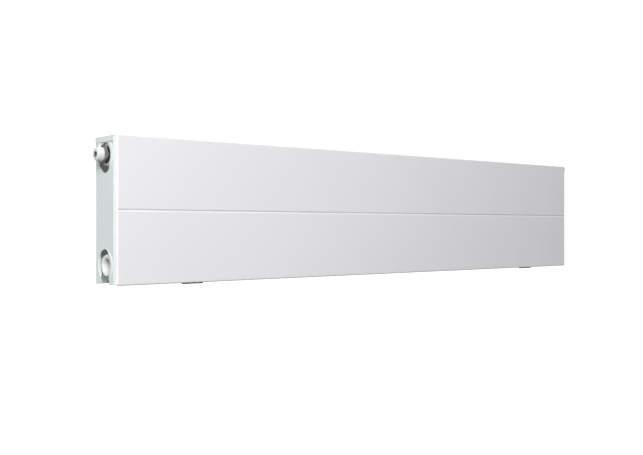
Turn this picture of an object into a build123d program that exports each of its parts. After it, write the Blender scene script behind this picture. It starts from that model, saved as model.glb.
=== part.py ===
"""Low flat-fronted panel radiator: one water panel with one convector behind it.

Millimetres. X runs along the radiator, Y towards the wall and Z up. The origin is on the wall
side of the hanging lugs, half way along, level with the bottom edge of the front plate.
"""
from math import floor
import os

from build123d import *

os.makedirs("parts", exist_ok=True)

# overall sizes
length = 1000.0  # over the end flanges of the top grille
height = 200.0  # of the front plate
depth = 58.0  # from the front plate's face to the wall side of the lugs

# clearances and welded or glued layers
cover_gap = 0.2  # between covers that slide over each other
slip_gap = 0.3  # between a loose cover edge and what it passes
snug_gap = 0.1  # between a sprung or seated piece and what it bears on
glue = 1.5  # adhesive between the front plate and the water panel
turn_gap = 0.05  # radial, round a turning vent part
thread_gap = 0.2  # radial, between a plug's shank and its socket

# front plate
plate_sheet = 1.0
plate_bend = 2.0
plate_corner = 3.0
plate_lip = 4.5  # top and bottom edges, bent back
plate_end_lip = 2.8
plate_stand_off = 0.4  # from the end lip back to the end panel's front flange
groove_depth = 1.2
groove_height = 3.6

# water panel
panel_sheet = 1.2
press_depth = 5.7  # of each shell, outside, from the seam's middle
press_taper = 30.0
press_corner = 10.0
seam_corner = 6.0
panel_margin = 3.2  # below and above the panel, inside the front plate
panel_inset = 14.0  # from an end panel's face to the end of the water panel
seam = 8.8  # width of the welded seam all round
header_height = 26.0
channel_pitch = 100.0 / 3
valley_width = 8.0
glue_width = 10.0
glue_set_in = 16.0  # from the end of the pressing to the end of an adhesive strip

# connections
socket_from_edge = 26.0  # height of a socket's axis above the bottom or below the top
socket_from_front = 28.2
socket_ring = 29.0
socket_ring_width = 3.0
socket_chamfer = 0.8
socket_hex = 28.0
socket_hex_length = 20.0
socket_bore = 18.63  # inside a G1/2 female thread
socket_mouth = 22.0
socket_thread_depth = 18.0
socket_length = 52.0
socket_end_wall = 4.0
socket_recess = 1.65  # of the ring's face, behind an end panel's face
neck_from_end = 43.0
neck_diameter = 18.0
water_hole = 12.0

# convector
fin_sheet = 0.5
fin_depth = 40.0
fin_height = 112.0
fin_foot = 15.0
fin_bend = 1.0

# hanging lugs
lug_sheet = 2.0
lug_width = 26.0
lug_foot = 24.0
lug_flange = 26.0
lug_hole = 9.0
lug_hole_from_bend = 16.0
lug_hole_spacing = 124.0
lug_channels_from_end = 2

# end panels
trim_sheet = 1.0
trim_bend = 1.2
side_reveal = 3.5  # how far an end panel stands out past the front plate
end_rear = 2.0  # from the wall side of the lugs to the rear of an end panel
end_front_flange = 10.0
end_rear_flange = 35.0
end_bottom = 0.7
slot_gap = 0.5  # round a socket's ring
upper_slot_gap = 1.5  # above the upper socket's ring
upper_slot_below = 24.5  # from the upper socket's axis to the slot's lower end
lower_slot_above = 22.0  # from the lower socket's axis to the slot's upper end
notch_width = 23.4
bead_radius = 20.0
bead_width = 4.4
bead_height = 0.9

# top grille
grille_sheet = 0.8
grille_drop = 1.3  # below the front plate's top edge
grille_set_in = 2.0  # from the rear of an end panel to the rear of the grille
grille_end_flange = 7.8
grille_end_gap = 0.6  # between the grille's end flange and the end panel
grille_hem = 5.0
grille_rear_flange = 12.0
grille_slot_length = 34.0
grille_slot_width = 5.5
grille_slot_pitch = 10.0
grille_end_margin = 20.0

# clips
clip_width = 33.2
clip_wall = 1.2
clip_leg = 5.0
clip_lip = 1.3
clip_base_drop = 0.2  # of a clip's base, below the inside of the plate's bottom lip
clip_from_end = 119.5
tooth_count = 7
tooth_pitch = 4.9
tooth_drop = 1.8  # below the front plate's bottom edge
tooth_depth = 3.2
grille_clip_width = 20.0
grille_clip_sheet = 0.5
grille_clip_leg = 7.0
grille_clip_x = 250.0
side_clip_height = 20.0
side_clip_spacing = 62.0
side_clip_wall = 2.0

# air vent and blanking plug
seal_thickness = 1.2
seal_gap = 0.2  # round the socket's mouth
plug_flange = 24.6
vent_flange_thickness = 1.6
vent_hex = 24.0
vent_hex_thickness = 4.05
vent_neck = 12.0
vent_neck_length = 5.15
shank_length = 11.0
vent_cap_diameter = 19.6
vent_cap_length = 8.4
vent_cap_taper = 9.0
vent_cap_round = 1.5
vent_cap_face = 2.0
vent_key_hole = 7.6
vent_square = 5.0
vent_square_length = 1.4
spindle = 7.6
spindle_length = 12.4
spindle_below_neck = 0.6
needle_length = 4.9
needle_step = 0.4  # radial, from the spindle to the needle
needle_point = 2.0
air_hole = 3.0
vent_tab_reach = 14.6
vent_tab_width = 6.0
vent_tab_thickness = 2.5
outlet_hole = 3.2
outlet_from_hex = 3.6
outlet_pocket_width = 7.0
outlet_pocket_length = 4.6
outlet_pocket_wall = 0.6  # between the pocket and the vent's neck
blank_flange_thickness = 3.0
blank_chamfer = 0.8
blank_key = 12.0
blank_key_depth = 6.0

# planes that several pieces share
front_y = -depth
middle_z = height / 2
grille_end = length / 2
end_face = grille_end - grille_sheet - grille_end_gap
plate_half = end_face - side_reveal
end_front_y = front_y + plate_end_lip + plate_stand_off
panel_front_y = front_y + plate_sheet + glue
seam_y = panel_front_y + press_depth
panel_rear_y = seam_y + press_depth
panel_half = end_face - panel_inset
panel_height = height - 2 * panel_margin
seam_top = height - panel_margin
seam_front_y = seam_y - panel_sheet
seam_rear_y = seam_y + panel_sheet
socket_y = front_y + socket_from_front
socket_face = end_face - socket_recess
low_socket_z = socket_from_edge
high_socket_z = height - socket_from_edge
grille_top = height - grille_drop
grille_front_y = front_y + plate_lip + slip_gap
grille_rear_y = -end_rear - grille_set_in


def facing_front(y):
    """A plane at this Y whose sketch axes are X and Z and whose normal points to the front."""
    return Plane.XZ.offset(-y)


def save(part, name):
    """Label one piece and write it."""
    part.label = name
    export_step(part, f"parts/{name}.step")


# front plate: a shallow tray with a pressed groove along its middle
with BuildPart() as front_plate:
    with BuildSketch(facing_front(front_y)):
        with Locations((0, middle_z)):
            RectangleRounded(2 * plate_half, height, plate_corner)
    extrude(amount=-plate_lip)
    fillet(front_plate.faces().sort_by(Axis.Y)[0].edges(), plate_bend)
    offset(amount=-plate_sheet, openings=front_plate.faces().sort_by(Axis.Y)[-1])
    # the groove's metal stands out behind the plate
    with BuildSketch(Plane.YZ.offset(-(plate_half - plate_sheet))):
        with BuildLine():
            Polyline(
                (front_y + plate_sheet / 2, middle_z - groove_height / 2 - plate_sheet),
                (front_y + plate_sheet + groove_depth, middle_z - plate_sheet / 2),
                (front_y + plate_sheet + groove_depth, middle_z + plate_sheet / 2),
                (front_y + plate_sheet / 2, middle_z + groove_height / 2 + plate_sheet),
                close=True,
            )
        make_face()
    extrude(amount=2 * (plate_half - plate_sheet))
    with BuildSketch(Plane.YZ.offset(-plate_half)):
        with BuildLine():
            Polyline(
                (front_y, middle_z - groove_height / 2),
                (front_y + groove_depth, middle_z),
                (front_y, middle_z + groove_height / 2),
                close=True,
            )
        make_face()
    extrude(amount=2 * plate_half, mode=Mode.SUBTRACT)
    # at each end the long lips stop short, to clear the end panel's front flange
    with BuildSketch(facing_front(front_y + plate_end_lip)):
        with Locations((-plate_half, middle_z), (plate_half, middle_z)):
            Rectangle(2 * (end_front_flange + slip_gap - side_reveal), height)
    extrude(amount=-(plate_lip - plate_end_lip), mode=Mode.SUBTRACT)

save(front_plate.part, "front_plate")


# pressed water panel: two shells welded along a flat seam, with headers and upright channels
bulge_half = panel_half - seam
bulge_height = panel_height - 2 * seam
valley_length = bulge_height - 2 * header_height
valley_count = floor(2 * bulge_half / channel_pitch) - 1

# the water space in front of the seam, used to hollow the shells
core_half = bulge_half - panel_sheet
core_height = bulge_height - 2 * panel_sheet
core_depth = press_depth - panel_sheet
with BuildPart() as water_core:
    with BuildSketch(facing_front(seam_y)):
        with Locations((0, middle_z)):
            RectangleRounded(2 * core_half, core_height, press_corner - panel_sheet)
    extrude(amount=core_depth, taper=press_taper)
    with BuildSketch(facing_front(seam_y)):
        with Locations((0, middle_z)):
            with GridLocations(channel_pitch, 1, valley_count, 1):
                SlotOverall(valley_length + 2 * panel_sheet, valley_width + 2 * panel_sheet, rotation=90)
    extrude(amount=core_depth, taper=-press_taper, mode=Mode.SUBTRACT)

with BuildPart() as water_shell_front:
    with BuildSketch(facing_front(seam_y)):
        with Locations((0, middle_z)):
            RectangleRounded(2 * bulge_half, bulge_height, press_corner)
    extrude(amount=press_depth, taper=press_taper)
    with BuildSketch(facing_front(seam_front_y)):
        with Locations((0, middle_z)):
            with GridLocations(channel_pitch, 1, valley_count, 1):
                SlotOverall(valley_length, valley_width, rotation=90)
    extrude(amount=core_depth, taper=-press_taper, mode=Mode.SUBTRACT)
    with BuildSketch(facing_front(seam_y)):
        with Locations((0, middle_z)):
            RectangleRounded(2 * panel_half, panel_height, seam_corner)
    extrude(amount=panel_sheet)
    add(water_core.part, mode=Mode.SUBTRACT)

save(water_shell_front.part, "water_shell_front")

neck_x = end_face - neck_from_end
with BuildPart() as water_shell_rear:
    mirror(water_shell_front.part, about=facing_front(seam_y))
    with BuildSketch(facing_front(panel_rear_y)):
        with Locations((0, middle_z)):
            with GridLocations(2 * neck_x, high_socket_z - low_socket_z, 2, 2):
                Circle(water_hole / 2)
    extrude(amount=press_depth, mode=Mode.SUBTRACT)

save(water_shell_rear.part, "water_shell_rear")


# adhesive strips between the headers and the front plate
def glue_strip(z):
    with BuildPart() as strip:
        with BuildSketch(facing_front(panel_front_y)):
            with Locations((0, z)):
                Rectangle(2 * (bulge_half - glue_set_in), glue_width)
        extrude(amount=glue)
    return strip.part


save(glue_strip(low_socket_z), "glue_strip_lower")
save(glue_strip(high_socket_z), "glue_strip_upper")


# connection sockets, welded behind the four corners of the water panel
def socket(side, z):
    """One socket: ring, hexagon and round body along X, with a neck to the panel."""
    face = side * socket_face
    inward = -side
    body_start = socket_ring_width + socket_hex_length
    with BuildPart() as boss:
        with BuildSketch(Plane.YZ.offset(face)):
            with Locations((socket_y, z)):
                Circle(socket_ring / 2)
        extrude(amount=inward * socket_ring_width)
        rims = boss.edges().filter_by(GeomType.CIRCLE).sort_by(Axis.X)
        chamfer(rims[-1] if side > 0 else rims[0], socket_chamfer)
        with BuildSketch(Plane.YZ.offset(face + inward * socket_ring_width)):
            with Locations((socket_y, z)):
                RegularPolygon(socket_hex / 2, 6, major_radius=False, rotation=30)
        extrude(amount=inward * socket_hex_length)
        with BuildSketch(Plane.YZ.offset(face + inward * body_start)):
            with Locations((socket_y, z)):
                Circle(socket_hex / 2)
        extrude(amount=inward * (socket_length - body_start))
        with BuildSketch(facing_front(panel_rear_y)):
            with Locations((side * neck_x, z)):
                Circle(neck_diameter / 2)
        extrude(amount=-(socket_y - panel_rear_y))
        # the waterway: threaded mouth, bore and the turn into the neck
        with BuildSketch(Plane.YZ.offset(face)):
            with Locations((socket_y, z)):
                Circle(socket_bore / 2)
        extrude(amount=inward * socket_thread_depth, mode=Mode.SUBTRACT)
        with BuildSketch(Plane.YZ.offset(face)):
            with Locations((socket_y, z)):
                Circle(socket_mouth / 2)
        extrude(amount=inward * (socket_mouth - socket_bore) / 2, taper=45, mode=Mode.SUBTRACT)
        with BuildSketch(Plane.YZ.offset(face)):
            with Locations((socket_y, z)):
                Circle(water_hole / 2)
        extrude(amount=inward * (socket_length - socket_end_wall), mode=Mode.SUBTRACT)
        with BuildSketch(facing_front(panel_rear_y)):
            with Locations((side * neck_x, z)):
                Circle(water_hole / 2)
        extrude(amount=-(socket_y - panel_rear_y), mode=Mode.SUBTRACT)
    return boss.part


save(socket(-1, high_socket_z), "socket_left_upper")
save(socket(-1, low_socket_z), "socket_left_lower")
save(socket(1, high_socket_z), "socket_right_upper")
save(socket(1, low_socket_z), "socket_right_lower")


# convector: folded sheet whose feet are welded to the channel crests
lug_x = (valley_count / 2 - lug_channels_from_end) * channel_pitch
outer_channel_x = valley_count / 2 * channel_pitch


def convector(first_x, count):
    """Folded sheet over this many channels, starting at the channel at first_x."""
    foot_y = panel_rear_y + fin_sheet / 2
    back_y = panel_rear_y + fin_depth - fin_sheet / 2
    points = []
    for channel in range(count):
        x = first_x + channel * channel_pitch
        points.append((x - fin_foot / 2, back_y))
        points.append((x - fin_foot / 2, foot_y))
        points.append((x + fin_foot / 2, foot_y))
        points.append((x + fin_foot / 2, back_y))
    with BuildPart() as sheet:
        with BuildSketch(Plane.XY.offset(middle_z - fin_height / 2)):
            with BuildLine():
                FilletPolyline(*points, radius=fin_bend)
            trace(line_width=fin_sheet)
        extrude(amount=fin_height)
    return sheet.part


middle_channels = valley_count + 1 - 2 * (lug_channels_from_end + 1)
save(convector(-outer_channel_x, lug_channels_from_end), "convector_left")
save(convector(-lug_x + channel_pitch, middle_channels), "convector_middle")
save(convector(lug_x + channel_pitch, lug_channels_from_end), "convector_right")


# hanging lugs: bent strips welded to a channel crest, with a hole in the wall flange
def lug(x, up):
    """A lug whose wall flange points up (up = 1) or down (up = -1)."""
    hole_z = middle_z + up * lug_hole_spacing / 2
    web_z = hole_z - up * lug_hole_from_bend
    with BuildPart() as strip:
        with BuildSketch(Plane.YZ.offset(x - lug_width / 2)):
            with BuildLine():
                FilletPolyline(
                    (panel_rear_y + lug_sheet / 2, web_z - up * lug_foot),
                    (panel_rear_y + lug_sheet / 2, web_z),
                    (-lug_sheet / 2, web_z),
                    (-lug_sheet / 2, web_z + up * lug_flange),
                    radius=lug_sheet,
                )
            trace(line_width=lug_sheet)
        extrude(amount=lug_width)
        with BuildSketch(Plane.XZ):
            with Locations((x, hole_z)):
                Circle(lug_hole / 2)
        extrude(amount=lug_sheet, mode=Mode.SUBTRACT)
    return strip.part


save(lug(-lug_x, 1), "lug_left_upper")
save(lug(-lug_x, -1), "lug_left_lower")
save(lug(lug_x, 1), "lug_right_upper")
save(lug(lug_x, -1), "lug_right_lower")


# end panels: folded covers with a slot round each socket and a pressed bead beside it
def bead_ring(side, z, outset, end_z):
    """A ring of half-round section standing on the end face, cut off level at end_z."""
    sagitta = bead_height
    chord = bead_width / 2
    radius = (chord**2 + sagitta**2) / (2 * sagitta)
    centre = side * (end_face + outset + sagitta - radius)
    with BuildPart() as ring:
        with BuildSketch(Plane.XZ.offset(-socket_y)) as section:
            with Locations((centre, z + bead_radius)):
                Circle(radius)
            with Locations((side * (end_face + outset - radius), z + bead_radius)):
                Rectangle(2 * radius, 2 * radius, mode=Mode.SUBTRACT)
        revolve(axis=Axis((0, socket_y, z), (1, 0, 0)))
        with BuildSketch(Plane.XY.offset(end_z)):
            with Locations((side * end_face, socket_y)):
                Rectangle(8 * radius, 4 * bead_radius)
        extrude(amount=2 * bead_radius, mode=Mode.SUBTRACT)
    return ring.part


end_top = grille_top - grille_sheet - cover_gap
bead_stop = grille_top - grille_end_flange - slip_gap
slot_width = socket_ring + 2 * slot_gap
upper_slot_above = socket_ring / 2 + upper_slot_gap


def end_panel(side):
    outer = side * (end_face - trim_sheet / 2)
    rings = [bead_ring(side, z, 0, bead_stop) for z in (low_socket_z, high_socket_z)]
    dents = [bead_ring(side, z, -trim_sheet, bead_stop) for z in (low_socket_z, high_socket_z)]
    with BuildPart() as panel:
        with BuildSketch(Plane.XY.offset(end_bottom)):
            with BuildLine():
                FilletPolyline(
                    (side * (end_face - end_front_flange), end_front_y + trim_sheet / 2),
                    (outer, end_front_y + trim_sheet / 2),
                    (outer, -end_rear - trim_sheet / 2),
                    (side * (end_face - end_rear_flange), -end_rear - trim_sheet / 2),
                    radius=trim_bend - trim_sheet / 2,
                )
            trace(line_width=trim_sheet)
        extrude(amount=end_top - end_bottom)
        add(rings)
        add(dents, mode=Mode.SUBTRACT)
        with BuildSketch(Plane.YZ.offset(side * (end_face + bead_height))):
            with Locations((socket_y, high_socket_z + (upper_slot_above - upper_slot_below) / 2)):
                SlotOverall(upper_slot_above + upper_slot_below, slot_width, rotation=90)
            with Locations((socket_y, low_socket_z + (lower_slot_above - slot_width / 2) / 2)):
                SlotOverall(lower_slot_above + slot_width / 2, slot_width, rotation=90)
            with Locations((socket_y, low_socket_z / 2)):
                Rectangle(notch_width, low_socket_z)
        extrude(amount=-side * (trim_sheet + 2 * bead_height), mode=Mode.SUBTRACT)
    return panel.part


save(end_panel(-1), "end_panel_left")
save(end_panel(1), "end_panel_right")


# top grille: one punched sheet with flanges that drop behind the plate and over the end panels
grille_depth = grille_rear_y - grille_front_y
grille_middle_y = (grille_rear_y + grille_front_y) / 2
shoulder = end_front_flange + slip_gap + (grille_end - end_face)
slot_count = floor((2 * grille_end - 2 * grille_end_margin) / grille_slot_pitch)
with BuildPart() as top_grille:
    with BuildSketch(Plane.XY.offset(grille_top)):
        with Locations((0, grille_middle_y)):
            Rectangle(2 * grille_end, grille_depth)
        for side in (-1, 1):
            with Locations((side * (grille_end - shoulder / 2), (end_front_y + grille_rear_y) / 2)):
                Rectangle(shoulder, grille_rear_y - end_front_y)
    extrude(amount=-grille_sheet)
    # rear flange and front hem
    with BuildSketch(Plane.XY.offset(grille_top)):
        with Locations((0, grille_rear_y - grille_sheet / 2)):
            Rectangle(2 * (end_face - end_rear_flange - slip_gap), grille_sheet)
    extrude(amount=-grille_rear_flange)
    with BuildSketch(Plane.XY.offset(grille_top)):
        with Locations((0, grille_front_y + grille_sheet / 2)):
            Rectangle(2 * (grille_end - shoulder), grille_sheet)
    extrude(amount=-grille_hem)
    # end flanges, outside the end panels
    for side in (-1, 1):
        with BuildSketch(Plane.XY.offset(grille_top)):
            with Locations((side * (grille_end - grille_sheet / 2), (end_front_y + grille_rear_y) / 2)):
                Rectangle(grille_sheet, grille_rear_y - end_front_y)
        extrude(amount=-grille_end_flange)
    # soft bends along the top
    top_edges = top_grille.faces().sort_by(Axis.Z)[-1].edges()
    fillet(top_edges.filter_by(Axis.Y).sort_by(Axis.X)[0], grille_sheet)
    top_edges = top_grille.faces().filter_by(Axis.Z).sort_by(Axis.Z)[-1].edges()
    fillet(top_edges.filter_by(Axis.Y).sort_by(Axis.X)[-1], grille_sheet)
    with BuildSketch(Plane.XY.offset(grille_top)):
        with Locations((0, grille_middle_y)):
            with GridLocations(grille_slot_pitch, 1, slot_count, 1):
                SlotOverall(grille_slot_length, grille_slot_width, rotation=90)
    extrude(amount=-grille_sheet, mode=Mode.SUBTRACT)

save(top_grille.part, "top_grille")


# spring clips over the top seam, which the grille rests on
def grille_clip(x):
    leg_bottom = seam_top - grille_clip_leg
    bridge_z = seam_top + slip_gap + grille_clip_sheet / 2
    with BuildPart() as clip:
        with BuildSketch(Plane.YZ.offset(x - grille_clip_width / 2)):
            with BuildLine():
                FilletPolyline(
                    (seam_front_y - grille_clip_sheet / 2, leg_bottom),
                    (seam_front_y - grille_clip_sheet / 2, bridge_z),
                    (seam_rear_y + grille_clip_sheet / 2, bridge_z),
                    (seam_rear_y + grille_clip_sheet / 2, leg_bottom),
                    radius=grille_clip_sheet,
                )
            trace(line_width=grille_clip_sheet)
        extrude(amount=grille_clip_width)
    return clip.part


save(grille_clip(-grille_clip_x), "grille_clip_left")
save(grille_clip(grille_clip_x), "grille_clip_right")


# toothed clips under the bottom seam, which hold the front plate's bottom lip
def plate_clip(x):
    base_z = plate_sheet - clip_base_drop
    lip_z = plate_sheet + snug_gap
    leg_top = panel_margin + clip_leg
    tooth_width = clip_width - (tooth_count - 1) * tooth_pitch
    with BuildPart() as clip:
        with BuildSketch(Plane.YZ.offset(x - clip_width / 2)):
            with BuildLine():
                Polyline(
                    (seam_front_y - clip_wall, leg_top),
                    (seam_front_y, leg_top),
                    (seam_front_y, panel_margin),
                    (seam_rear_y, panel_margin),
                    (seam_rear_y, leg_top),
                    (seam_rear_y + clip_wall, leg_top),
                    (seam_rear_y + clip_wall, base_z),
                    (seam_front_y - clip_wall, base_z),
                    (seam_front_y - clip_wall, lip_z),
                    (front_y + plate_bend, lip_z),
                    (front_y + plate_bend, lip_z + clip_lip),
                    (seam_front_y - clip_wall, lip_z + clip_lip),
                    close=True,
                )
            make_face()
        extrude(amount=clip_width)
        with BuildSketch(Plane.XY.offset(base_z)):
            with Locations((x, seam_y)):
                with GridLocations(tooth_pitch, 1, tooth_count, 1):
                    Rectangle(tooth_width, tooth_depth)
        extrude(amount=-(base_z + tooth_drop))
    return clip.part


clip_x = plate_half - clip_from_end
save(plate_clip(-clip_x), "plate_clip_left")
save(plate_clip(clip_x), "plate_clip_right")


# side clips between the water panel's end seams and the end panels
def side_clip(side, z):
    inner = panel_half - seam + side_clip_wall
    outer = end_face - trim_sheet
    with BuildPart() as clip:
        with BuildSketch(Plane.XY.offset(z - side_clip_height / 2)):
            with Locations((side * (inner + outer) / 2, seam_y)):
                Rectangle(outer - inner, 2 * (panel_sheet + side_clip_wall))
            with Locations((side * (inner + panel_half) / 2, seam_y)):
                Rectangle(panel_half - inner, 2 * panel_sheet, mode=Mode.SUBTRACT)
        extrude(amount=side_clip_height)
    return clip.part


for side, side_name in ((-1, "left"), (1, "right")):
    save(side_clip(side, middle_z + side_clip_spacing / 2), f"side_clip_{side_name}_upper")
    save(side_clip(side, middle_z - side_clip_spacing / 2), f"side_clip_{side_name}_lower")


# air vent in the upper left socket; its parts are placed by their distance out of the socket
def out_left(distance):
    """The plane this far out of the left socket's face, with the normal pointing outwards."""
    centre = (-socket_face - distance, socket_y, high_socket_z)
    return Plane(origin=centre, x_dir=(0, -1, 0), z_dir=(-1, 0, 0))


def out_right(distance):
    """The plane this far out of the right socket's face, with the normal pointing outwards."""
    centre = (socket_face + distance, socket_y, high_socket_z)
    return Plane(origin=centre, x_dir=(0, 1, 0), z_dir=(1, 0, 0))


shank_radius = socket_bore / 2 - thread_gap
vent_hex_base = seal_thickness + vent_flange_thickness
vent_neck_base = vent_hex_base + vent_hex_thickness
vent_neck_end = vent_neck_base + vent_neck_length
cap_base = vent_neck_base + cover_gap
cap_end = cap_base + vent_cap_length
spindle_top = vent_neck_end - spindle_below_neck
spindle_bottom = spindle_top - spindle_length
seat = spindle_bottom - needle_length - snug_gap
outlet_at = vent_neck_base + outlet_from_hex

with BuildPart() as vent_body:
    with BuildSketch(out_left(-shank_length)):
        Circle(shank_radius)
    extrude(amount=shank_length + seal_thickness)
    with BuildSketch(out_left(seal_thickness)):
        Circle(plug_flange / 2)
    extrude(amount=vent_flange_thickness)
    with BuildSketch(out_left(vent_hex_base)):
        RegularPolygon(vent_hex / 2, 6, major_radius=False)
    extrude(amount=vent_hex_thickness)
    with BuildSketch(out_left(vent_neck_base)):
        Circle(vent_neck / 2)
    extrude(amount=vent_neck_length)
    with BuildSketch(out_left(seat)):
        Circle(spindle / 2 + turn_gap)
    extrude(amount=vent_neck_end - seat, mode=Mode.SUBTRACT)
    with BuildSketch(out_left(-shank_length)):
        Circle(air_hole / 2)
    extrude(amount=seat + shank_length, mode=Mode.SUBTRACT)
    # the air leaves downwards through the neck
    with BuildSketch(Plane.XY.offset(high_socket_z)):
        with Locations((-socket_face - outlet_at, socket_y)):
            Circle(air_hole / 2)
    extrude(amount=-vent_neck / 2, mode=Mode.SUBTRACT)

save(vent_body.part, "vent_body")


def seal(plane):
    with BuildPart() as washer:
        with BuildSketch(plane):
            Circle(plug_flange / 2 - snug_gap)
            Circle(socket_mouth / 2 + seal_gap, mode=Mode.SUBTRACT)
        extrude(amount=seal_thickness)
    return washer.part


save(seal(out_left(0)), "vent_seal")

with BuildPart() as vent_needle:
    with BuildSketch(out_left(spindle_bottom)):
        Circle(spindle / 2 - needle_step)
    extrude(amount=-needle_length)
    chamfer(vent_needle.edges().filter_by(GeomType.CIRCLE).sort_by(Axis.X)[-1], needle_point)

save(vent_needle.part, "vent_needle")

with BuildPart() as vent_spindle:
    with BuildSketch(out_left(spindle_bottom)):
        Circle(spindle / 2)
    extrude(amount=spindle_length)
    with BuildSketch(out_left(spindle_top)):
        Rectangle(vent_square, vent_square)
    extrude(amount=vent_square_length)

save(vent_spindle.part, "vent_spindle")

with BuildPart() as vent_cap:
    with BuildSketch(out_left(cap_base)):
        Circle(vent_cap_diameter / 2)
    extrude(amount=vent_cap_length, taper=vent_cap_taper)
    fillet(vent_cap.faces().sort_by(Axis.X)[0].edges(), vent_cap_round)
    with BuildSketch(out_left(outlet_at - vent_tab_thickness / 2)):
        with Locations((0, vent_tab_reach / 2)):
            Rectangle(vent_tab_width, vent_tab_reach)
    extrude(amount=vent_tab_thickness)
    with BuildSketch(out_left(cap_base)):
        Circle(vent_neck / 2 + turn_gap)
    extrude(amount=vent_cap_length - vent_cap_face, mode=Mode.SUBTRACT)
    with BuildSketch(out_left(cap_base)):
        Circle(vent_key_hole / 2)
    extrude(amount=vent_cap_length, mode=Mode.SUBTRACT)
    # the outlet, at the bottom of a shallow pocket
    with BuildSketch(Plane.XY.offset(high_socket_z)):
        with Locations((-socket_face - outlet_at, socket_y)):
            Circle(outlet_hole / 2)
    extrude(amount=-vent_cap_diameter / 2, mode=Mode.SUBTRACT)
    with BuildSketch(Plane.XY.offset(high_socket_z - vent_neck / 2 - turn_gap - outlet_pocket_wall)):
        with Locations((-socket_face - outlet_at, socket_y)):
            Rectangle(outlet_pocket_length, outlet_pocket_width)
    extrude(amount=-vent_cap_diameter / 2, mode=Mode.SUBTRACT)

save(vent_cap.part, "vent_cap")

# blanking plug in the upper right socket, with a hexagon recess for a key
with BuildPart() as blank_plug:
    with BuildSketch(out_right(-shank_length)):
        Circle(shank_radius)
    extrude(amount=shank_length + seal_thickness)
    with BuildSketch(out_right(seal_thickness)):
        Circle(plug_flange / 2)
    extrude(amount=blank_flange_thickness)
    chamfer(blank_plug.edges().filter_by(GeomType.CIRCLE).sort_by(Axis.X)[-1], blank_chamfer)
    with BuildSketch(out_right(seal_thickness + blank_flange_thickness)):
        RegularPolygon(blank_key / 2, 6, major_radius=False)
    extrude(amount=-blank_key_depth, mode=Mode.SUBTRACT)

save(blank_plug.part, "blank_plug")
save(seal(out_right(0)), "blank_seal")
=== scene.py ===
"""Low flat-fronted panel radiator, dressed over its CAD frame and put together in maker's order."""

from math import cos, pi, radians, sin

import bmesh
import bpy
from mathutils import Matrix, Vector


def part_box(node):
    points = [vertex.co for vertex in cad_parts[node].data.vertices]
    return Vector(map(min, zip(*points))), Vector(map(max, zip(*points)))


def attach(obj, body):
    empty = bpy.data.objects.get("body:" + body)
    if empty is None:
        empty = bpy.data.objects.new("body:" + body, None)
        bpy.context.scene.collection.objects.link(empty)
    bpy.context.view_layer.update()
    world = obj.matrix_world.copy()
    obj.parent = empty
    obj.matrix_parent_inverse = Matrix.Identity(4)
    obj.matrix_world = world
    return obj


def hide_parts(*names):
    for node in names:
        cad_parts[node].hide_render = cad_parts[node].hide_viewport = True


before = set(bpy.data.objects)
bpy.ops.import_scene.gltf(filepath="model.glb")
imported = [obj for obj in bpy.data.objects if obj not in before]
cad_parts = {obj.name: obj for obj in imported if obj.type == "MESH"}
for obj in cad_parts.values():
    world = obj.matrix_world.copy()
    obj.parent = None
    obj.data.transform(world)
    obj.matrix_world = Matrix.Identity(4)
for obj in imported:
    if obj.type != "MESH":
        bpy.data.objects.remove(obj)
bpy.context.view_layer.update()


# ---------------------------------------------------------------------------------------------
# Water panel. Two pressed steel shells, 1.2 mm thick, roller-welded round the edge and spot-welded
# between the upright channels, then dipped in primer and stoved white.
# ---------------------------------------------------------------------------------------------
class Value:
    """A shader value. Expressions on it add Math nodes to the finish that it belongs to."""

    def __init__(self, finish, socket):
        self.finish = finish
        self.socket = socket

    def maths(self, operation, first, second=0.0):
        return self.finish.node("ShaderNodeMath", {"operation": operation}, {0: first, 1: second})

    def root(self):
        return self.maths("SQRT", self)

    def __add__(self, other):
        return self.maths("ADD", self, other)

    def __radd__(self, other):
        return self.maths("ADD", other, self)

    def __sub__(self, other):
        return self.maths("SUBTRACT", self, other)

    def __rsub__(self, other):
        return self.maths("SUBTRACT", other, self)

    def __mul__(self, other):
        return self.maths("MULTIPLY", self, other)

    def __rmul__(self, other):
        return self.maths("MULTIPLY", other, self)

    def __mod__(self, other):
        return self.maths("FLOORED_MODULO", self, other)

    def __abs__(self):
        return self.maths("ABSOLUTE", self)

    def __gt__(self, other):
        return self.maths("GREATER_THAN", self, other)

    def ramp(self, low, high):
        """0 at low, 1 at high, smooth between."""
        settings = {"interpolation_type": "SMOOTHSTEP"}
        inputs = {"Value": self, "From Min": low, "From Max": high}
        return self.finish.node("ShaderNodeMapRange", settings, inputs)


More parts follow.
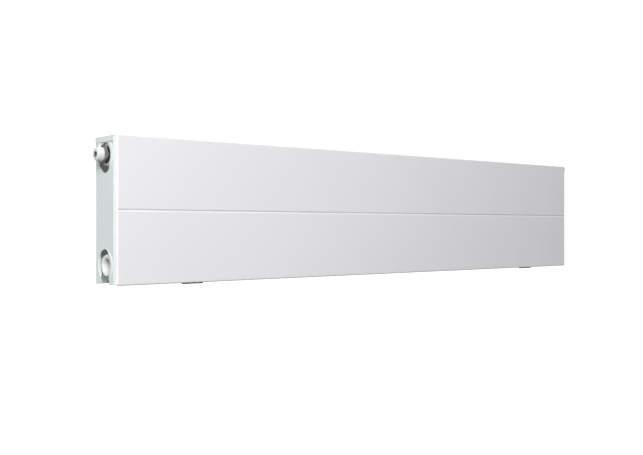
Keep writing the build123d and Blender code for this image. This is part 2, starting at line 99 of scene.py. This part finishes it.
class Finish:
    """A material in the making: node() adds any node, and surface() closes it."""

    def __init__(self, name):
        self.material = bpy.data.materials.new(name)
        self.material.use_nodes = True
        self.tree = self.material.node_tree
        self.tree.nodes.clear()
        self.place = self.node("ShaderNodeTexCoord", {}, {}, "Object")

    def node(self, kind, settings, inputs, output=0):
        made = self.tree.nodes.new(kind)
        for key, value in settings.items():
            setattr(made, key, value)
        for key, value in inputs.items():
            if isinstance(value, Value):
                self.tree.links.new(value.socket, made.inputs[key])
            else:
                made.inputs[key].default_value = value
        return Value(self, made.outputs[output]) if made.outputs else None

    def axes(self):
        """The place on the object as separate X, Y and Z values, in metres."""
        split = self.node("ShaderNodeSeparateXYZ", {}, {0: self.place}).socket.node
        return [Value(self, split.outputs[i]) for i in range(3)]

    def noise(self, size, detail=2.0, stretch=(1, 1, 1)):
        """Noise whose lumps are about size metres across, longer along a stretched axis."""
        scale = tuple(1 / part for part in stretch)
        spot = self.node("ShaderNodeMapping", {}, {"Vector": self.place, "Scale": scale})
        return self.node("ShaderNodeTexNoise", {}, {"Vector": spot, "Scale": 1 / size, "Detail": detail})

    def blend(self, mask, first, second):
        """first where mask is 0, second where it is 1; colours are three numbers or Values."""
        ends = [c if isinstance(c, Value) else (*c, 1.0) for c in (first, second)]
        return self.node("ShaderNodeMix", {"data_type": "RGBA"}, {0: mask, 6: ends[0], 7: ends[1]}, 2)

    def bump(self, height, depth, under=None):
        """A normal that rises by depth metres where height goes from 0 to 1."""
        inputs = {"Height": height, "Distance": depth, "Strength": 1.0}
        if under is not None:
            inputs["Normal"] = under
        return self.node("ShaderNodeBump", {}, inputs)

    def surface(self, **sockets):
        """The surface shader; a socket's name is written with _ for a space."""
        inputs = {key.replace("_", " "): value for key, value in sockets.items()}
        shader = self.node("ShaderNodeBsdfPrincipled", {}, inputs)
        self.node("ShaderNodeOutputMaterial", {}, {"Surface": shader})
        return self.material


def dress(name, material):
    """Give a CAD node this material in every slot."""
    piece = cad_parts[name]
    if not piece.data.materials:
        piece.data.materials.append(material)
    for index in range(len(piece.data.materials)):
        piece.data.materials[index] = material


def stoved_paint(name, colour, peel, dust=0.03):
    """White stoved powder coat: fine orange peel, slight drift in gloss, dust on what faces up."""
    paint = Finish(name)
    drift = paint.noise(0.16, 3.0)
    smear = paint.noise(0.022, 4.0, (2.5, 1, 1))
    grit = paint.noise(0.0009, 1.0)
    waves = paint.noise(0.0026, 2.0)
    fine = paint.noise(0.0008, 2.0)
    shaded = tuple(0.985 * part for part in colour)
    yellowed = (colour[0] * 0.985, colour[1] * 0.975, colour[2] * 0.945)
    tone = paint.blend(drift.ramp(0.35, 0.7), colour, shaded)
    facing = paint.node("ShaderNodeNewGeometry", {}, {}, "Normal")
    up = Value(paint, paint.node("ShaderNodeSeparateXYZ", {}, {0: facing}).socket.node.outputs[2])
    settled = up.ramp(0.6, 1.0) * smear.ramp(0.45, 0.75)
    tone = paint.blend(settled * dust * 10, tone, yellowed)
    speck = (grit > 0.74) * 0.12
    tone = paint.blend(speck, tone, (0.55, 0.54, 0.52))
    gloss = 0.27 + drift * 0.02 + smear * 0.01 + settled * 0.18
    skin = paint.bump(waves, peel)
    skin = paint.bump(fine, peel * 0.3, skin)
    return paint, tone, gloss, skin


def panel_paint():
    """Dipped and stoved: the roller weld's ripples and the spot welds show through the paint."""
    paint, tone, gloss, skin = stoved_paint("panel_paint", (0.80, 0.80, 0.79), 0.00002, 0.08)
    along, _, up = paint.axes()
    low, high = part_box("water_shell_front")
    middle = (low[2] + high[2]) / 2
    half = (high[2] - low[2]) / 2
    # roller weld: overlapping ovals in a band 4 mm in from the top and bottom edges
    from_edge = half - abs(up - middle)
    band = (abs(from_edge - 0.0045) * -1 + 0.0018).ramp(0.0, 0.0006)
    ripple = abs((along % 0.0022) - 0.0011) * (1 / 0.0011)
    skin = paint.bump(band * (0.6 + ripple * 0.4), -0.00012, skin)
    # spot welds in the valleys between the channels
    pitch = 0.1 / 3
    across = abs(((along + pitch / 2) % pitch) - pitch / 2)
    rise = abs(((up - middle + 0.015) % 0.03) - 0.015)
    spot = (across * across + rise * rise).root()
    dimple = 1 - spot.ramp(0.0016, 0.0026)
    skin = paint.bump(dimple, -0.0001, skin)
    tone = paint.blend(dimple * 0.35 + band * 0.1, tone, (0.62, 0.61, 0.59))
    return paint.surface(Base_Color=tone, Roughness=gloss + 0.08, Normal=skin, Coat_Weight=0.05)


shell_paint = panel_paint()
for shell in ("water_shell_front", "water_shell_rear"):
    dress(shell, shell_paint)


# ---------------------------------------------------------------------------------------------
# Convector. Thin steel strip folded into square waves, its feet spot-welded to the channel
# crests in three lengths that leave the hanging lugs free; painted with the panel.
# ---------------------------------------------------------------------------------------------
def fin_paint():
    """Darker and greyer in patches deep between the fins, towards the panel: painted shade; the outer folds
    keep the full white.
    """
    paint, tone, gloss, skin = stoved_paint("fin_paint", (0.79, 0.79, 0.78), 0.00002, 0.12)
    _, depth, up = paint.axes()
    low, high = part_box("convector_middle")
    deep = (depth * -1).ramp(-low[1] - 0.030, -low[1])
    patchy = paint.noise(0.012, 5.0, (1, 1, 3))
    # painted shade: greyer in patches deep between the fins towards the panel, and rougher there too
    fin_root_shade = deep * patchy.ramp(0.35, 0.62)
    tone = paint.blend(fin_root_shade * 0.55, tone, (0.46, 0.47, 0.47))
    # light roller marks across the strip
    lines = paint.noise(0.0016, 1.0, (1, 1, 40))
    skin = paint.bump(lines, 0.000012, skin)
    return paint.surface(Base_Color=tone, Roughness=gloss + fin_root_shade * 0.25 + 0.06, Normal=skin, Coat_Weight=0.03)


strip_paint = fin_paint()
for strip in ("convector_left", "convector_middle", "convector_right"):
    dress(strip, strip_paint)


# ---------------------------------------------------------------------------------------------
# Hanging lugs. 2 mm steel strip bent twice, welded to the channel crests before painting, with a
# hole for the bracket; the paint is scuffed through round the hole where brackets have slid.
# ---------------------------------------------------------------------------------------------
def lug_paint():
    paint, tone, gloss, skin = stoved_paint("lug_paint", (0.79, 0.79, 0.78), 0.00003, 0.08)
    along, depth, up = paint.axes()
    low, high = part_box("lug_left_upper")
    middle_x = (low[0] + high[0]) / 2
    hole_z = high[2] - 0.010
    shell_low, shell_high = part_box("water_shell_front")
    middle_z = (shell_low[2] + shell_high[2]) / 2
    dx = abs(abs(along) + middle_x)
    dz = abs(abs(up - middle_z) - (hole_z - middle_z))
    away = (dx * dx + dz * dz).root()
    ragged = paint.noise(0.0022, 4.0)
    worn = (1 - away.ramp(0.0048, 0.0098)) * ragged.ramp(0.38, 0.56) * (depth > -0.0045)
    tone = paint.blend(worn, tone, (0.36, 0.35, 0.34))
    scratch = paint.noise(0.0007, 1.0, (1, 1, 18)).ramp(0.62, 0.7)
    gloss = gloss + worn * (0.1 + scratch * 0.2)
    skin = paint.bump(worn, -0.00006, skin)
    return paint.surface(Base_Color=tone, Roughness=gloss, Metallic=worn * 0.9, Normal=skin, Coat_Weight=0.03)


def finished(piece, body, material):
    """Smooth the piece between its sharp edges, paint it and fix it to its body."""
    piece.data.materials.clear()
    piece.data.materials.append(material)
    for face in piece.data.polygons:
        face.use_smooth = True
    piece.data.set_sharp_from_angle(angle=radians(32))
    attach(piece, body)
    return piece


def eased(node, radius, body, material):
    """The CAD node's shape with its sharp edges rounded over, in the node's place."""
    shape = bmesh.new()
    shape.from_mesh(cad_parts[node].data)
    bmesh.ops.remove_doubles(shape, verts=shape.verts, dist=0.000002)
    bmesh.ops.dissolve_limit(shape, angle_limit=radians(0.5), verts=shape.verts, edges=shape.edges)
    mesh = bpy.data.meshes.new(node + "_eased")
    shape.to_mesh(mesh)
    shape.free()
    piece = bpy.data.objects.new(node + "_eased", mesh)
    bpy.context.scene.collection.objects.link(piece)
    rounding = piece.modifiers.new("rounding", "BEVEL")
    rounding.width = radius
    rounding.segments = 3
    rounding.limit_method = "ANGLE"
    rounding.angle_limit = radians(40)
    finished(piece, body, material)
    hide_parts(node)
    return piece


def weld_bead(name, path, width, rise, closed, material):
    """A bead with a ripple every 1.2 mm, lying on a path of points with their outward directions."""
    sides = 8
    shape = bmesh.new()
    rows = []
    count = len(path)
    for step, (spot, away) in enumerate(path):
        ahead = path[(step + 1) % count][0] if closed or step < count - 1 else spot
        behind = path[step - 1][0] if closed or step > 0 else spot
        along = (ahead - behind).normalized()
        across = along.cross(away).normalized()
        swell = 1.0 + 0.12 * cos(2 * pi * step / 4)
        if not closed:
            swell *= min(1.0, 0.35 + 0.3 * min(step, count - 1 - step))
        row = []
        for side in range(sides):
            turn = 2 * pi * side / sides
            bulge = max(sin(turn), -0.35) * rise * swell
            row.append(shape.verts.new(spot + across * cos(turn) * width / 2 * swell + away * bulge))
        rows.append(row)
    pairs = list(zip(rows, rows[1:]))
    if closed:
        pairs.append((rows[-1], rows[0]))
    for first, second in pairs:
        for side in range(sides):
            after = (side + 1) % sides
            shape.faces.new((first[side], first[after], second[after], second[side]))
    if not closed:
        shape.faces.new(rows[0])
        shape.faces.new(rows[-1])
    bmesh.ops.recalc_face_normals(shape, faces=shape.faces)
    mesh = bpy.data.meshes.new(name)
    shape.to_mesh(mesh)
    shape.free()
    bead = bpy.data.objects.new(name, mesh)
    bpy.context.scene.collection.objects.link(bead)
    return finished(bead, "radiator", material)


bent_strip = lug_paint()
for lug in ("lug_left_upper", "lug_left_lower", "lug_right_upper", "lug_right_lower"):
    eased(lug, 0.00025, "radiator", bent_strip)
    low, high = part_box(lug)
    shell_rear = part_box("water_shell_rear")[1].y
    up = 1 if "upper" in lug else -1
    foot_end = low.z if up > 0 else high.z
    for side in (low.x, high.x):
        seam_path = []
        for step in range(60):
            spot = Vector((side, shell_rear + 0.0006, foot_end + up * (0.002 + step * 0.0003)))
            seam_path.append((spot, Vector((0, 1, 0))))
        weld_bead(f"{lug}_weld_{'a' if side == low.x else 'b'}", seam_path, 0.003, 0.0011, False, shell_paint)


# ---------------------------------------------------------------------------------------------
# Sockets. Turned steel bosses, threaded G1/2, with a short hexagon behind the ring, welded
# behind the panel's corners and painted with it; the lower two are open for the valves.
# ---------------------------------------------------------------------------------------------
def socket_paint():
    paint, tone, gloss, skin = stoved_paint("socket_paint", (0.83, 0.84, 0.84), 0.00002, 0.05)
    turned = paint.noise(0.0006, 1.0, (1, 30, 30))
    skin = paint.bump(turned, 0.000008, skin)
    return paint.surface(Base_Color=tone, Roughness=gloss, Normal=skin, Coat_Weight=0.1)


def turned(name, rings, centre, outward, through=False, segments=96):
    """A body turned about X. Each ring is a distance out from centre, and a radius, or a function
    that gives the radius for each angle."""
    shape = bmesh.new()
    loops = []
    for out, radius in rings:
        loop = []
        for step in range(segments):
            angle = 2 * pi * step / segments
            reach = radius(angle) if callable(radius) else radius
            spot = Vector((outward * out, reach * cos(angle), reach * sin(angle)))
            loop.append(shape.verts.new(centre + spot))
        loops.append(loop)
    pairs = list(zip(loops, loops[1:]))
    if through:
        pairs.append((loops[-1], loops[0]))
    for first, second in pairs:
        for step in range(segments):
            after = (step + 1) % segments
            shape.faces.new((first[step], first[after], second[after], second[step]))
    if not through:
        shape.faces.new(loops[0])
        shape.faces.new(loops[-1])
    bmesh.ops.recalc_face_normals(shape, faces=shape.faces)
    mesh = bpy.data.meshes.new(name)
    shape.to_mesh(mesh)
    shape.free()
    piece = bpy.data.objects.new(name, mesh)
    bpy.context.scene.collection.objects.link(piece)
    return piece


def hexagon(across_flats, first_corner, limit=1.0):
    """Radius for each angle of a hexagon whose corners are turned down to the limit."""

    def radius(angle):
        return min(across_flats / 2 / cos((angle - first_corner) % (pi / 3) - pi / 6), limit)

    return radius


thread_pitch = 0.001814
thread_middle = 0.0099  # radius half way up the tooth of a G1/2 thread
thread_depth = 0.00116


def thread(out, ease, least=0.0):
    """Radius for each angle of the rounded G1/2 tooth at this distance out, eased off by a clearance."""

    def radius(angle):
        tooth = cos(2 * pi * (out / thread_pitch + angle / (2 * pi)))
        return max(thread_middle + tooth * thread_depth / 2 - ease, least)

    return radius


def threaded(start, end, ease, mouth=None):
    """Rings of thread from start to end; a mouth opens them out at 45 degrees."""
    count = round(abs(end - start) / thread_pitch * 10)
    rings = []
    for step in range(count + 1):
        out = start + (end - start) * step / count
        rings.append((out, thread(out, ease, mouth + out if mouth else 0.0)))
    return rings


boss_paint = socket_paint()
mouth_radius = 0.011
waterway = 0.006
thread_end = -0.018  # distances along a socket are from its ring's face, outwards
thread_start = -0.0003
ring_width = 0.003
ring_chamfer = 0.0008
ring_easing = 0.0002
end_wall = 0.004
hex_flats = 0.028
hex_corner_limit = 0.0153
hex_chamfer = 0.0007
hex_end = -0.023
body_radius = 0.014
body_chamfer = 0.0012
neck_from_face = 0.041
boss_neck_radius = 0.009
foot_steps = 200
for side_name, outward in (("left", -1), ("right", 1)):
    for level in ("upper", "lower"):
        boss = f"socket_{side_name}_{level}"
        low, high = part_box(boss)
        face_x = low.x if outward < 0 else high.x
        ring_radius = (high.y - low.y) / 2
        back = high.x - low.x
        # the ring is the widest part front to back, and the hexagon's corners point up and down,
        # so the middle of the box is the axis both ways
        axis_z = (low.z + high.z) / 2
        centre = Vector((face_x, high.y - ring_radius, axis_z))
        eased_hexagon = hexagon(hex_flats, pi / 6, hex_corner_limit)
        full_hexagon = hexagon(hex_flats, pi / 6)
        profile = [(-back + end_wall, waterway), (thread_end, waterway)]
        profile += threaded(thread_end, thread_start, 0.0, mouth_radius)
        profile += [(0, mouth_radius + ring_easing), (0, ring_radius - ring_chamfer)]
        profile += [(-ring_chamfer, ring_radius), (-ring_width + ring_easing, ring_radius)]
        profile += [(-ring_width, ring_radius - ring_easing)]
        profile += [(-ring_width, eased_hexagon), (-ring_width - hex_chamfer, full_hexagon)]
        profile += [(hex_end + hex_chamfer, full_hexagon), (hex_end, eased_hexagon), (hex_end, body_radius)]
        profile += [(-back + body_chamfer, body_radius), (-back, body_radius - body_chamfer)]
        turned_boss = turned(boss + "_turned", profile, centre, outward)
        finished(turned_boss, "radiator", boss_paint)
        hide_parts(boss)
        # neck to the panel, left solid, with a weld round its foot
        neck_x = face_x - outward * neck_from_face
        panel_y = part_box("water_shell_rear")[1].y
        neck_shape = bmesh.new()
        tube = bmesh.ops.create_cone(
            neck_shape, cap_ends=True, segments=64, radius1=boss_neck_radius, radius2=boss_neck_radius,
            depth=centre.y - panel_y,
        )
        middle = Vector((neck_x, (centre.y + panel_y) / 2, axis_z))
        lay = Matrix.Translation(middle) @ Matrix.Rotation(pi / 2, 4, "X")
        bmesh.ops.transform(neck_shape, matrix=lay, verts=tube["verts"])
        neck_mesh = bpy.data.meshes.new(boss + "_neck")
        neck_shape.to_mesh(neck_mesh)
        neck_shape.free()
        neck = bpy.data.objects.new(boss + "_neck", neck_mesh)
        bpy.context.scene.collection.objects.link(neck)
        finished(neck, "radiator", boss_paint)
        foot = []
        for step in range(foot_steps):
            angle = 2 * pi * step / foot_steps
            direction = Vector((cos(angle), 0, sin(angle)))
            spot = Vector((neck_x, panel_y + 0.0007, axis_z)) + direction * (boss_neck_radius + 0.0005)
            foot.append((spot, (direction + Vector((0, 1, 0))).normalized()))
        weld_bead(boss + "_weld", foot, 0.0032, 0.0013, True, boss_paint)


# ---------------------------------------------------------------------------------------------
# Adhesive. Two strips of elastic adhesive, rolled out along the headers, hold the front plate.
# ---------------------------------------------------------------------------------------------
def adhesive():
    gum = Finish("adhesive")
    lumps = gum.noise(0.004, 4.0)
    bubbles = gum.noise(0.0012, 2.0)
    tone = gum.blend(lumps, (0.05, 0.05, 0.053), (0.085, 0.085, 0.09))
    skin = gum.bump(lumps, 0.0002)
    skin = gum.bump(bubbles, 0.00008, skin)
    return gum.surface(Base_Color=tone, Roughness=0.55 + lumps * 0.3, Normal=skin)


gum_strip = adhesive()
for strip in ("glue_strip_lower", "glue_strip_upper"):
    dress(strip, gum_strip)


# ---------------------------------------------------------------------------------------------
# Front plate. 1 mm sheet with all four edges bent back and one groove pressed along the middle,
# stoved in glossy white powder coat, then glued to the water panel.
# ---------------------------------------------------------------------------------------------
def front_paint():
    """The smoothest coat on the radiator; a painted highlight makes it whiter where the sheet turns the
    corner.
    """
    paint, tone, gloss, skin = stoved_paint("front_paint", (0.85, 0.842, 0.866), 0.000009, 0.02)
    along, _, up = paint.axes()
    low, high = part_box("front_plate")
    half = (high[0] - low[0]) / 2
    middle = (low[2] + high[2]) / 2
    near_end = (abs(along) - half + 0.0016).ramp(0.0, 0.0016)
    near_edge = (abs(up - middle) - middle + 0.0016).ramp(0.0, 0.0016)
    edge = near_end.maths("MAXIMUM", near_end, near_edge)
    # painted highlight: a lighter white along the plate's bent edges and ends
    tone = paint.blend(edge, tone, (0.96, 0.96, 0.965))
    coat = {"Coat_Weight": 0.25, "Coat_Roughness": 0.08}
    return paint.surface(Base_Color=tone, Roughness=gloss - 0.02, Normal=skin, **coat)


dress("front_plate", front_paint())


# ---------------------------------------------------------------------------------------------
# End panels. 1 mm sheet folded front and rear, slotted for the sockets, with a pressed bead at
# each slot; clipped to the water panel's end seams and painted apart from it.
# ---------------------------------------------------------------------------------------------
def cover_paint():
    # the end panels and grille carry the front plate's white; this copy is darker and greener as painted
    # shade and a painted tint of the light at the end
    paint, tone, gloss, skin = stoved_paint("cover_paint", (0.80, 0.835, 0.83), 0.000012, 0.05)
    return paint.surface(Base_Color=tone, Roughness=gloss, Normal=skin, Coat_Weight=0.2, Coat_Roughness=0.1)


shaded_trim_paint = cover_paint()
for cover in ("end_panel_left", "end_panel_right"):
    dress(cover, shaded_trim_paint)


# ---------------------------------------------------------------------------------------------
# Side clips. Moulded polyamide blocks pushed over the end seams; the end panels snap on to them.
# ---------------------------------------------------------------------------------------------
def moulded(name, colour, second, gloss, grain):
    """Moulded plastic with a spark-eroded grain and a slight cloudiness."""
    plastic = Finish(name)
    cloud = plastic.noise(0.006, 3.0)
    pores = plastic.noise(grain, 2.0)
    tone = plastic.blend(cloud.ramp(0.3, 0.7), colour, second)
    skin = plastic.bump(pores, grain * 0.02)
    dull = gloss + pores * 0.12 - 0.06
    return plastic.surface(Base_Color=tone, Roughness=dull, Normal=skin, Subsurface_Weight=0.02)


natural = moulded("natural_polyamide", (0.62, 0.61, 0.56), (0.68, 0.67, 0.62), 0.45, 0.0005)
for side in ("left", "right"):
    for level in ("upper", "lower"):
        eased(f"side_clip_{side}_{level}", 0.0004, "radiator", natural)


# ---------------------------------------------------------------------------------------------
# Plate clips. Dark grey toothed clips pressed up over the bottom seam; their lips hold the front
# plate's bottom edge and the teeth show just below it.
# ---------------------------------------------------------------------------------------------
dark = moulded("dark_polyamide", (0.10, 0.10, 0.105), (0.13, 0.13, 0.135), 0.5, 0.0004)
for side in ("left", "right"):
    eased(f"plate_clip_{side}", 0.00015, "radiator", dark)


# ---------------------------------------------------------------------------------------------
# Grille clips. Zinc-plated spring strip bent over the top seam, for the grille to sit on.
# ---------------------------------------------------------------------------------------------
def spring_strip():
    steel = Finish("zinc_plated_spring")
    spangle = steel.node("ShaderNodeTexVoronoi", {}, {"Vector": steel.place, "Scale": 900.0}, "Color")
    level = Value(steel, steel.node("ShaderNodeSeparateColor", {}, {0: spangle}).socket.node.outputs[0])
    drawn = steel.noise(0.0004, 1.0, (30, 1, 1))
    tone = steel.blend(level, (0.50, 0.52, 0.54), (0.62, 0.62, 0.60))
    skin = steel.bump(drawn, 0.000006)
    return steel.surface(Base_Color=tone, Metallic=1.0, Roughness=0.28 + level * 0.12, Normal=skin)


plated = spring_strip()
for side in ("left", "right"):
    eased(f"grille_clip_{side}", 0.00012, "radiator", plated)


# ---------------------------------------------------------------------------------------------
# Top grille. 0.8 mm sheet, punched with a row of slots, bent down front and rear, with flanges
# that drop over the end panels; painted with them. It lifts straight off.
# ---------------------------------------------------------------------------------------------
dress("top_grille", shaded_trim_paint)


# ---------------------------------------------------------------------------------------------
# Air vent. Turned brass plug with a hexagon, bright nickel plated; a white plastic cap turns on
# its neck to point the outlet, and the spindle in the cap's key hole opens the needle.
# ---------------------------------------------------------------------------------------------
def shaded_spindle_steel():
    """Dark and dull, as painted shade of the key hole it sits in, with dried lime in the tool marks."""
    dull = Finish("shaded_spindle_steel")
    lime = dull.noise(0.0012, 4.0)
    # painted shade: the spindle's dark base tone stands for the shade inside the key hole
    tone = dull.blend(lime.ramp(0.5, 0.7), (0.20, 0.20, 0.20), (0.34, 0.34, 0.33))
    skin = dull.bump(dull.noise(0.0004, 1.0, (1, 20, 20)), 0.00001)
    return dull.surface(Base_Color=tone, Metallic=0.8, Roughness=0.45 + lime * 0.2, Normal=skin)


def nickel():
    plate = Finish("nickel_plate")
    turned = plate.noise(0.0005, 1.0, (1, 25, 25))
    bloom = plate.noise(0.005, 4.0)
    prints = plate.noise(0.0015, 3.0)
    tone = plate.blend(bloom.ramp(0.4, 0.75), (0.50, 0.49, 0.48), (0.40, 0.39, 0.38))
    skin = plate.bump(turned, 0.000004)
    gloss = 0.09 + bloom * 0.06 + prints.ramp(0.5, 0.7) * 0.08
    return plate.surface(Base_Color=tone, Metallic=1.0, Roughness=gloss, Normal=skin)


bright = nickel()
vent_low, vent_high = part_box("vent_body")
spindle_low, spindle_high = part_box("vent_spindle")
face_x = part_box("socket_left_upper")[0].x
axis = Vector((face_x, (spindle_low.y + spindle_high.y) / 2, (spindle_low.z + spindle_high.z) / 2))
inner_end = -(vent_high.x - face_x)
neck_end = face_x - vent_low.x
seal_face = face_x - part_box("vent_seal")[0].x
flange_face = seal_face + 0.0016
shank_end_radius = 0.0084
shank_neck_radius = 0.0088
flange_easing = 0.0002
neck_easing = 0.0003
hex_turned_off = 0.0011
needle_travel_room = 0.005  # from the spindle's inner end to the needle's seat
hex_face = face_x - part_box("vent_cap")[1].x - 0.0002
flats = 0.024
corner = flats / cos(pi / 6) / 2
flange_radius = (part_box("vent_seal")[1].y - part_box("vent_seal")[0].y) / 2 + 0.0001
neck_radius = 0.006
bore = 0.00385
air_way = 0.0015
seat = face_x - spindle_high.x - needle_travel_room
profile = [(inner_end, air_way), (inner_end, shank_end_radius)]
profile += threaded(inner_end + 0.0006, -0.0006, 0.00012)
profile += [(0.0, shank_neck_radius), (seal_face, shank_neck_radius)]
profile += [(seal_face, flange_radius - flange_easing)]
profile += [(seal_face + flange_easing, flange_radius), (flange_face - flange_easing, flange_radius)]
profile += [(flange_face, flange_radius - flange_easing)]
profile += [(flange_face, hexagon(flats, 0, corner))]
chamfer_steps = 14
for step in range(chamfer_steps + 1):
    turned_off = step / chamfer_steps
    limit = corner - (corner - flats / 2) * turned_off
    profile.append((hex_face - hex_turned_off * (1 - turned_off), hexagon(flats, 0, limit)))
profile += [(hex_face, neck_radius + neck_easing), (hex_face + neck_easing, neck_radius)]
profile += [(neck_end - neck_easing, neck_radius), (neck_end, neck_radius - neck_easing)]
profile += [(neck_end, bore + neck_easing), (neck_end - neck_easing, bore), (seat, bore), (seat, air_way)]
vent = turned("vent_body_turned", profile, axis, -1, through=True, segments=192)
finished(vent, "radiator", bright)
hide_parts("vent_body")
steel = shaded_spindle_steel()
eased("vent_spindle", 0.00025, "vent_spindle", steel)


def cap_paint():
    """White moulded plastic, dark in and round the key hole as painted shade of the hole."""
    plastic = Finish("white_plastic")
    cloud = plastic.noise(0.006, 3.0)
    pores = plastic.noise(0.0006, 2.0)
    tone = plastic.blend(cloud.ramp(0.3, 0.7), (0.79, 0.795, 0.795), (0.765, 0.77, 0.77))
    _, depth, up = plastic.axes()
    aside = depth - axis.y
    above = up - axis.z
    away = (aside * aside + above * above).root()
    # painted shade: near black inside the key hole and just round its mouth
    keyhole_shade = 1 - away.ramp(0.0039, 0.0043)
    tone = plastic.blend(keyhole_shade * (0.8 + cloud * 0.2), tone, (0.13, 0.13, 0.13))
    skin = plastic.bump(pores, 0.000012)
    dull = 0.24 + pores * 0.12
    return plastic.surface(Base_Color=tone, Roughness=dull, Normal=skin, Subsurface_Weight=0.02)


eased("vent_cap", 0.00035, "vent_cap", cap_paint())


def rubber():
    black = Finish("seal_rubber")
    talc = black.noise(0.0018, 4.0)
    tone = black.blend(talc.ramp(0.5, 0.8), (0.018, 0.018, 0.019), (0.06, 0.06, 0.062))
    skin = black.bump(black.noise(0.0005, 2.0), 0.00001)
    return black.surface(Base_Color=tone, Roughness=0.55 + talc * 0.2, Normal=skin)


black_rubber = rubber()
for part in ("vent_seal", "vent_needle", "blank_seal"):
    dress(part, black_rubber)


# ---------------------------------------------------------------------------------------------
# Blanking plug. Nickel-plated brass with a hexagon recess, screwed into the socket with no valve.
# ---------------------------------------------------------------------------------------------
eased("blank_plug", 0.0003, "radiator", bright)


# ---------------------------------------------------------------------------------------------
# Studio. A pale floor well below the hung radiator, a white surround, a big soft key light at the
# front left, a softer one overhead, and weak fills at the left end and behind.
# ---------------------------------------------------------------------------------------------
def floor():
    mesh = bpy.data.meshes.new("floor")
    shape = bmesh.new()
    bmesh.ops.create_grid(shape, x_segments=1, y_segments=1, size=30.0)
    shape.to_mesh(mesh)
    shape.free()
    plane = bpy.data.objects.new("floor", mesh)
    plane.location.z = -0.9
    bpy.context.scene.collection.objects.link(plane)
    pale = Finish("pale_floor")
    mottle = pale.noise(0.4, 3.0)
    tone = pale.blend(mottle, (0.93, 0.93, 0.93), (0.90, 0.90, 0.90))
    glow = {"Emission_Color": (1.0, 1.0, 1.0, 1.0), "Emission_Strength": 1.0}
    mesh.materials.append(pale.surface(Base_Color=tone, Roughness=0.9, **glow))
    plane.visible_diffuse = False
    plane.visible_glossy = False


floor()


class Surround(Finish):
    """The white room round the radiator, bright to look at and dim as a light."""

    def __init__(self, world):
        self.tree = world.node_tree
        self.tree.nodes.clear()


world = bpy.data.worlds.new("studio")
bpy.context.scene.world = world
world.use_nodes = True
room = Surround(world)
white = (1.0, 1.0, 1.0, 1.0)
seen = room.node("ShaderNodeBackground", {}, {"Color": white, "Strength": 1.2})
lit = room.node("ShaderNodeBackground", {}, {"Color": white, "Strength": 0.21})
looked_at = room.node("ShaderNodeLightPath", {}, {}, "Is Camera Ray")
both = room.node("ShaderNodeMixShader", {}, {0: looked_at, 1: lit, 2: seen})
room.node("ShaderNodeOutputWorld", {}, {"Surface": both})


def soft_light(name, power, width, place, target, tint=(1, 1, 1)):
    """A square area light, width metres across, aimed at target."""
    lamp = bpy.data.lights.new(name, "AREA")
    lamp.energy = power
    lamp.size = width
    lamp.color = tint
    holder = bpy.data.objects.new(name, lamp)
    bpy.context.scene.collection.objects.link(holder)
    aim = Vector(target) - Vector(place)
    holder.matrix_world = Matrix.Translation(place) @ aim.to_track_quat("-Z", "Y").to_matrix().to_4x4()
    return holder


key = soft_light("key", 56.0, 1.0, (-1.5, -1.9, 1.15), (-0.3, 0.0, 0.1))
soft_light("overhead", 44.0, 2.4, (0.0, -0.3, 3.2), (0.0, 0.0, 0.0))
end_fill = soft_light("end_fill", 12.0, 1.2, (-2.4, 0.3, 0.15), (-0.5, 0.0, 0.1), (0.88, 1.0, 0.985))
rear_fill = soft_light("rear_fill", 40.0, 2.0, (0.9, 2.6, 1.3), (0.1, 0.0, 0.1))
# these are kept out of reflections, so the plating reflects the dark of the room
for lamp in (key, end_fill, rear_fill):
    lamp.visible_glossy = False

# the camera stands low at the front left, level, just below the radiator's middle
plate_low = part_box("front_plate")[0]
lens = bpy.data.cameras.new("camera")
lens.lens = 50.0
lens.sensor_width = 36.0
lens.clip_end = 100.0
camera = bpy.data.objects.new("camera", lens)
camera.location = (plate_low[0] - 0.5455, plate_low[1] - 1.0696, plate_low[2] + 0.0769)
camera.rotation_euler = (radians(90.0), 0.0, radians(-39.9))
bpy.context.scene.collection.objects.link(camera)
bpy.context.scene.camera = camera
bpy.context.scene.view_settings.view_transform = "Standard"
